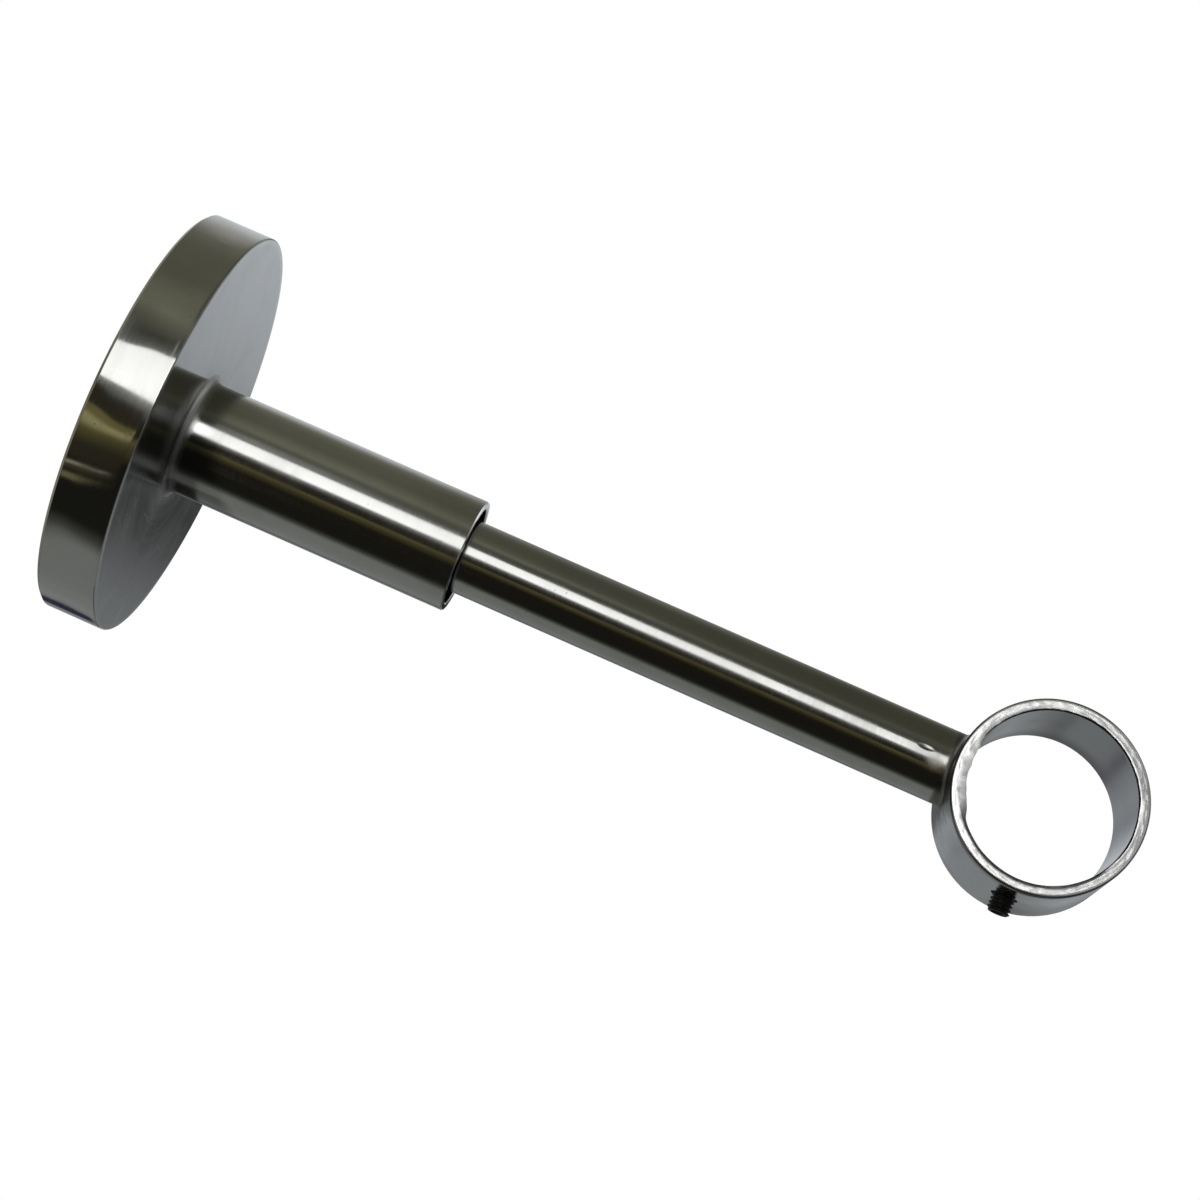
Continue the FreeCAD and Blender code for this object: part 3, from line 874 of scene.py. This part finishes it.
floor_mesh = bpy.data.meshes.new("studio_floor")
corners = [(floor_half_side * x, floor_half_side * y, 0.0) for x, y in ((-1, -1), (1, -1), (1, 1), (-1, 1))]
floor_mesh.from_pydata(corners, [], [(0, 1, 2, 3)])
floor_mesh.transform(Matrix.Translation((0.0, 0.0, floor_height)))
floor = bpy.data.objects.new("studio_floor", floor_mesh)
bpy.context.scene.collection.objects.link(floor)
board, tree, shader, place = new_finish("pale_board")
fibre = noise(tree, place, 40.0, 3.0)
tree.links.new(tint(tree, fibre, (0.92, 0.92, 0.92), (0.95, 0.95, 0.95)), shader.inputs["Base Color"])
shader.inputs["Roughness"].default_value = 0.9
shader.inputs["Specular IOR Level"].default_value = 0.1
board_out = tree.nodes["Material Output"]
from_set = put(tree, "ShaderNodeVectorMath", {0: place}, operation="LENGTH").outputs["Value"]
white = put(tree, "ShaderNodeEmission", {"Color": (1.0, 1.0, 1.0, 1.0), "Strength": 1.0})
rays = tree.nodes.new("ShaderNodeLightPath").outputs
fade = product(tree, spread(tree, from_set, 0.7, 2.4), rays["Is Camera Ray"])
faded = put(tree, "ShaderNodeMixShader", {0: fade, 1: shader.outputs[0], 2: white.outputs[0]})
tree.links.new(faded.outputs[0], board_out.inputs["Surface"])
floor_mesh.materials.append(board)
floor.visible_glossy = False
floor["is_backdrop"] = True


# Studio. White background, a long soft strip light on the camera's side, a short one
# beyond its end, a wide soft light overhead, and the boards round the set that metal mirrors.

scene = bpy.context.scene
scene.view_settings.view_transform = "Standard"

world = bpy.data.worlds.new("studio")
scene.world = world
world.use_nodes = True
tree = world.node_tree
tree.nodes.clear()
direction = tree.nodes.new("ShaderNodeTexCoord").outputs["Generated"]
aim = put(tree, "ShaderNodeSeparateXYZ", {"Vector": direction}).outputs
angle = calc(tree, "DIVIDE", calc(tree, "ARCTAN2", aim["Z"], aim["X"]), math.tau)
angle = calc(tree, "FRACT", calc(tree, "ADD", angle, 1.0))
boards = put(tree, "ShaderNodeValToRGB", {"Fac": angle})
boards.color_ramp.interpolation = "LINEAR"
seen_round = [  # angle round the arm in degrees, and the colour that metal mirrors there
    (0, (0.34, 0.355, 0.37)), (9, (0.26, 0.275, 0.29)), (13, (0.42, 0.445, 0.47)), (18, (0.76, 0.81, 0.86)),
    (45, (0.78, 0.80, 0.80)), (58, (0.50, 0.50, 0.45)), (66, (0.30, 0.30, 0.24)), (84, (0.225, 0.225, 0.165)),
    (112, (0.21, 0.21, 0.15)), (136, (0.35, 0.35, 0.26)), (145, (0.20, 0.20, 0.15)), (152, (0.10, 0.10, 0.08)),
    (183, (0.60, 0.60, 0.58)), (189, (0.24, 0.24, 0.22)), (194, (0.045, 0.045, 0.035)), (204, (0.03, 0.026, 0.012)),
    (207, (0.26, 0.235, 0.11)), (209.5, (0.13, 0.115, 0.05)), (215, (0.09, 0.075, 0.030)), (220, (0.022, 0.020, 0.014)),
    (265, (0.022, 0.022, 0.018)), (272.5, (0.11, 0.11, 0.10)), (281, (0.36, 0.38, 0.355)), (320, (0.38, 0.40, 0.38)),
    (334, (0.39, 0.40, 0.40)), (342, (0.20, 0.21, 0.212)), (349, (0.20, 0.208, 0.212)), (354, (0.29, 0.30, 0.31)),
]
ramp = boards.color_ramp.elements
ramp.remove(ramp[1])
ramp[0].position = 0.0
ramp[0].color = (*seen_round[0][1], 1.0)
for degrees, colour in seen_round[1:]:
    ramp.new(degrees / 360.0).color = (*colour, 1.0)


def hang(behind, near, far, soft, along, colour, amount=1.0):
    """Hangs one more board in the set, from one angle to another. Along holds where it fades in along the part,
    and then where it fades out. Soft is how soft its edges are, as one number or as one for each edge."""
    near_soft, far_soft = soft if isinstance(soft, tuple) else (soft, soft)
    inside = product(tree, spread(tree, angle, (near - near_soft) / 360, (near + near_soft) / 360),
                    spread(tree, angle, (far + far_soft) / 360, (far - far_soft) / 360))
    for start, end in zip(along[::2], along[1::2]):
        inside = product(tree, inside, spread(tree, aim["Y"], start, end))
    return tint(tree, product(tree, inside, amount), behind, colour)


mirrored = boards.outputs["Color"]
for row in (  # from, to, how soft, where it fades along the part, colour, and how much of it
    (26, 72, 6.0, (0.135, 0.085), (0.20, 0.20, 0.155), 0.85),
    (72, 134, 6.0, (0.13, 0.07), (0.12, 0.12, 0.085), 0.75),
    (339.5, 350.5, 1.2, (0.190, 0.205), (0.040, 0.036, 0.066)),
    (302, 344, 5.0, (-0.09, -0.15), (0.020, 0.020, 0.020)),
    (50, 146, 6.0, (0.06, -0.03), (0.09, 0.09, 0.062), 0.6),
    (10.2, 13.2, 0.7, (0.10, 0.0), (0.022, 0.023, 0.020)),
    (154, 192, 4.0, (-0.08, -0.16), (0.09, 0.09, 0.08)),
    (190, 226, 2.0, (0.203, 0.210), (0.050, 0.045, 0.028)),
    (200.4, 209.0, (0.5, 9.0), (0.2135, 0.2180), (0.27, 0.235, 0.080)),
    (200.6, 202.8, (0.4, 1.2), (0.2170, 0.2205, 0.2315, 0.2295), (1.25, 1.16, 0.66)),
    (204.0, 207.0, (0.7, 1.5), (0.2295, 0.2320), (0.62, 0.57, 0.28)),
    (228.8, 230.6, 0.7, (0.2300, 0.2330), (0.62, 0.58, 0.40)),
    (231.4, 233.6, 0.8, (0.216, 0.224), (0.085, 0.080, 0.045)),
    (236.2, 239.4, 0.9, (0.2195, 0.2310), (0.33, 0.30, 0.16)),
    (60.5, 67.5, (2.0, 0.5), (0.2035, 0.2055, 0.2215, 0.2195), (0.41, 0.41, 0.365), 0.9),
    (62.3, 63.9, 0.5, (0.2075, 0.2100, 0.2205, 0.2180), (0.30, 0.30, 0.265), 0.8),
    (67.5, 78.0, (0.5, 4.0), (0.2035, 0.2055, 0.2215, 0.2195), (0.255, 0.255, 0.205), 0.9),
    (149, 161, (4.0, 2.0), (0.125, 0.190, 0.2025, 0.1985), (0.66, 0.66, 0.62)),
):
    mirrored = hang(mirrored, *row)
mirrored = tint(tree, spread(tree, aim["Y"], 0.45, 0.80), mirrored, (0.70, 0.70, 0.69))
room_end = tint(tree, spread(tree, aim["Z"], -0.60, 0.80), (0.22, 0.22, 0.22), (0.80, 0.81, 0.82))
mirrored = tint(tree, spread(tree, aim["Y"], -0.27, -0.55), mirrored, room_end)
for fade in ((-0.40, -0.62), (0.45, 0.80)):
    mirrored = hang(mirrored, 64, 82, 9.0, fade, (1.50, 1.50, 1.48))
    mirrored = hang(mirrored, 100, 150, 12.0, fade, (0.12, 0.12, 0.11), 0.8)
    mirrored = hang(mirrored, 8, 44, 12.0, fade, (0.12, 0.12, 0.12), 0.8)
    mirrored = hang(mirrored, 250, 325, 24.0, fade, (0.05, 0.05, 0.045), 0.8)
rays = tree.nodes.new("ShaderNodeLightPath").outputs
plain = put(tree, "ShaderNodeBackground", {"Color": (1.0, 1.0, 1.0, 1.0), "Strength": 0.55})
seen = put(tree, "ShaderNodeBackground", {"Color": (1.0, 1.0, 1.0, 1.0), "Strength": 1.0})
boards_seen = put(tree, "ShaderNodeBackground", {"Color": mirrored, "Strength": 1.0})
lit = put(tree, "ShaderNodeMixShader", {0: rays["Is Glossy Ray"], 1: plain.outputs[0], 2: boards_seen.outputs[0]})
whole = put(tree, "ShaderNodeMixShader", {0: rays["Is Camera Ray"], 1: lit.outputs[0], 2: seen.outputs[0]})
put(tree, "ShaderNodeOutputWorld", {"Surface": whole.outputs[0]})


def soft_light(name, angle, distance, across, middle, along, radiance):
    """An area light that faces the bracket's long axis from an angle round it, in degrees."""
    lamp = bpy.data.lights.new(name, "AREA")
    lamp.shape = "RECTANGLE"
    lamp.size, lamp.size_y = across, along
    lamp.energy = radiance * math.pi * across * along
    away = Vector((math.cos(math.radians(angle)), 0.0, math.sin(math.radians(angle))))
    holder = bpy.data.objects.new(name, lamp)
    bpy.context.scene.collection.objects.link(holder)
    long_way = Vector((0.0, 1.0, 0.0))
    turned_to = Matrix((long_way.cross(away), long_way, away)).transposed().to_4x4()
    holder.matrix_world = Matrix.Translation(Vector((0.0, middle, 0.0)) + away * distance) @ turned_to
    holder.visible_camera = False
    return holder


strip_angle = 173.4
strip_light = soft_light(
    "strip_light", strip_angle, distance=2.0, across=0.80, middle=0.37, along=1.30, radiance=2.45)
foot_light = soft_light(
    "foot_light", strip_angle, distance=2.0, across=0.80, middle=-0.45, along=0.34, radiance=7.5)
overhead_light = soft_light(
    "overhead_light", 80.0, distance=1.2, across=1.4, middle=-0.08, along=1.6, radiance=1.05)
overhead_light.visible_glossy = False

# The strip is flagged off the floor, so that it lights the bracket alone.
lit_pieces = bpy.data.collections.new("lit_by_strip")
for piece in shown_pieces():
    lit_pieces.objects.link(piece)
strip_light.light_linking.receiver_collection = lit_pieces

# The foot light falls on the rose alone, whose face throws it back onto the stem's foot.
lit_face = bpy.data.collections.new("lit_by_foot_light")
lit_face.objects.link(rose)
foot_light.light_linking.receiver_collection = lit_face


# Camera. Square frame, a little below the bracket and level with the arm, rolled
# so that the arm falls away to the lower right.

eye = bpy.data.cameras.new("camera")
eye.sensor_width = 36.0
eye.lens = 93.855
camera = bpy.data.objects.new("camera", eye)
scene.collection.objects.link(camera)
right = Vector((-0.03685, -0.9137, 0.40472)).normalized()
ahead = Vector((0.97185, 0.06154, 0.22742)).normalized()
above = right.cross(ahead).normalized()
right = ahead.cross(above).normalized()
turned_to = Matrix((right, above, -ahead)).transposed().to_4x4()
camera.matrix_world = Matrix.Translation((-0.503635, -0.116060, -0.115435)) @ turned_to
scene.camera = camera
